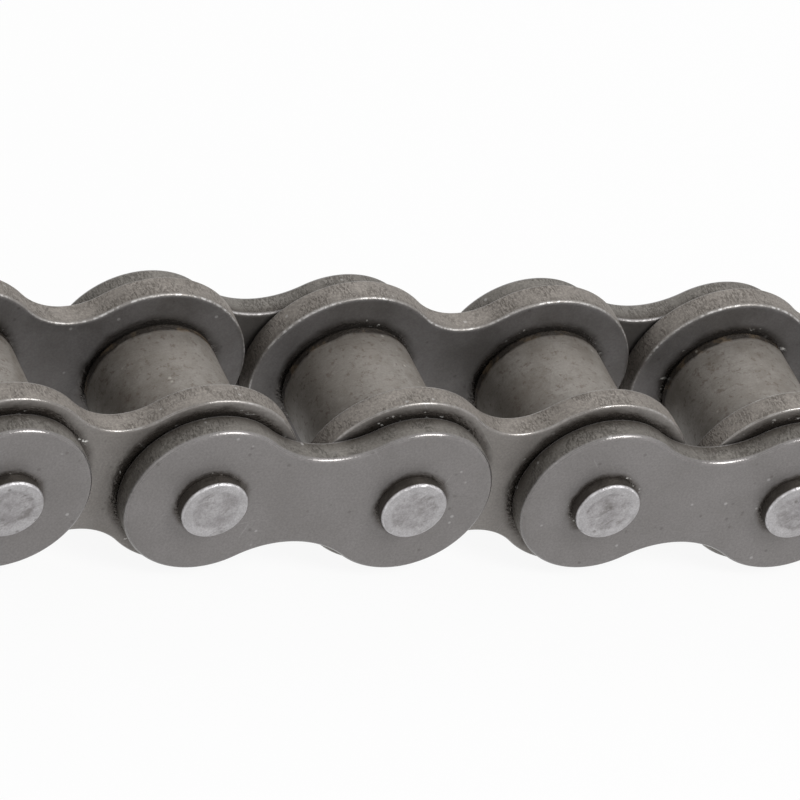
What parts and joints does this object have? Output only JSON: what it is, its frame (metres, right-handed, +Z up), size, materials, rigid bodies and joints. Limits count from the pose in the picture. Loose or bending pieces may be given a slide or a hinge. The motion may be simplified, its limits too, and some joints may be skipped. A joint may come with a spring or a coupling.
{
  "type": "roller chain strand",
  "caption": "Single-row steel roller chain strand: waisted pin links and roller links in turn, joined by riveted pins, with a free roller on each bush.",
  "frame": {"origin": "middle of the strand, on the pitch line and midway between the roller plates", "axes": "+X along the strand, +Y along the pins, +Z up, square to the pitch line"},
  "size_m": [0.2018, 0.0326, 0.024],
  "materials": {
    "plates": "oiled, satin, stamped edges",
    "rollers": "oiled, satin, turned",
    "bushes": "oiled, ground",
    "pins": "bright, riveted ends"
  },
  "bodies": {
    "roller_link_1": {"roller_link_1_plate_front": "plates", "roller_link_1_plate_back": "plates", "roller_link_1_bush_left": "bushes", "roller_link_1_bush_right": "bushes"},
    "roller_link_1_roller_left": {"roller_link_1_roller_left": "rollers"},
    "roller_link_1_roller_right": {"roller_link_1_roller_right": "rollers"},
    "roller_link_2": {"roller_link_2_plate_front": "plates", "roller_link_2_plate_back": "plates", "roller_link_2_bush_left": "bushes", "roller_link_2_bush_right": "bushes"},
    "roller_link_2_roller_left": {"roller_link_2_roller_left": "rollers"},
    "roller_link_2_roller_right": {"roller_link_2_roller_right": "rollers"},
    "roller_link_3": {"roller_link_3_plate_front": "plates", "roller_link_3_plate_back": "plates", "roller_link_3_bush_left": "bushes", "roller_link_3_bush_right": "bushes"},
    "roller_link_3_roller_left": {"roller_link_3_roller_left": "rollers"},
    "roller_link_3_roller_right": {"roller_link_3_roller_right": "rollers"},
    "roller_link_4": {"roller_link_4_plate_front": "plates", "roller_link_4_plate_back": "plates", "roller_link_4_bush_left": "bushes", "roller_link_4_bush_right": "bushes"},
    "roller_link_4_roller_left": {"roller_link_4_roller_left": "rollers"},
    "roller_link_4_roller_right": {"roller_link_4_roller_right": "rollers"},
    "pin_link_1": {"pin_link_1_plate_front": "plates", "pin_link_1_plate_back": "plates", "pin_link_1_pin_left": "pins", "pin_link_1_pin_right": "pins"},
    "pin_link_2": {"pin_link_2_plate_front": "plates", "pin_link_2_plate_back": "plates", "pin_link_2_pin_left": "pins", "pin_link_2_pin_right": "pins"},
    "pin_link_3": {"pin_link_3_plate_front": "plates", "pin_link_3_plate_back": "plates", "pin_link_3_pin_left": "pins", "pin_link_3_pin_right": "pins"}
  },
  "joints": [
    {"name": "pin_2_left_hinge", "type": "hinge", "parent": "pin_link_2", "child": "roller_link_2", "pos_m": [-0.0127, 0, 0], "axis": [0, 1, 0], "range_deg": [-120, 120]},
    {"name": "pin_1_right_hinge", "type": "hinge", "parent": "roller_link_2", "child": "pin_link_1", "pos_m": [-0.0381, 0, 0], "axis": [0, -1, 0], "range_deg": [-120, 120]},
    {"name": "pin_1_left_hinge", "type": "hinge", "parent": "pin_link_1", "child": "roller_link_1", "pos_m": [-0.0635, 0, 0], "axis": [0, 1, 0], "range_deg": [-120, 120]},
    {"name": "pin_2_right_hinge", "type": "hinge", "parent": "pin_link_2", "child": "roller_link_3", "pos_m": [0.0127, 0, 0], "axis": [0, 1, 0], "range_deg": [-120, 120]},
    {"name": "pin_3_left_hinge", "type": "hinge", "parent": "roller_link_3", "child": "pin_link_3", "pos_m": [0.0381, 0, 0], "axis": [0, -1, 0], "range_deg": [-120, 120]},
    {"name": "pin_3_right_hinge", "type": "hinge", "parent": "pin_link_3", "child": "roller_link_4", "pos_m": [0.0635, 0, 0], "axis": [0, 1, 0], "range_deg": [-120, 120]},
    {"name": "roller_1_left_spin", "type": "hinge", "parent": "roller_link_1", "child": "roller_link_1_roller_left", "pos_m": [-0.0889, 0, 0], "axis": [0, 1, 0], "continuous": true},
    {"name": "roller_1_right_spin", "type": "hinge", "parent": "roller_link_1", "child": "roller_link_1_roller_right", "pos_m": [-0.0635, 0, 0], "axis": [0, 1, 0], "continuous": true},
    {"name": "roller_2_left_spin", "type": "hinge", "parent": "roller_link_2", "child": "roller_link_2_roller_left", "pos_m": [-0.0381, 0, 0], "axis": [0, 1, 0], "continuous": true},
    {"name": "roller_2_right_spin", "type": "hinge", "parent": "roller_link_2", "child": "roller_link_2_roller_right", "pos_m": [-0.0127, 0, 0], "axis": [0, 1, 0], "continuous": true},
    {"name": "roller_3_left_spin", "type": "hinge", "parent": "roller_link_3", "child": "roller_link_3_roller_left", "pos_m": [0.0127, 0, 0], "axis": [0, 1, 0], "continuous": true},
    {"name": "roller_3_right_spin", "type": "hinge", "parent": "roller_link_3", "child": "roller_link_3_roller_right", "pos_m": [0.0381, 0, 0], "axis": [0, 1, 0], "continuous": true},
    {"name": "roller_4_left_spin", "type": "hinge", "parent": "roller_link_4", "child": "roller_link_4_roller_left", "pos_m": [0.0635, 0, 0], "axis": [0, 1, 0], "continuous": true},
    {"name": "roller_4_right_spin", "type": "hinge", "parent": "roller_link_4", "child": "roller_link_4_roller_right", "pos_m": [0.0889, 0, 0], "axis": [0, 1, 0], "continuous": true}
  ]
}
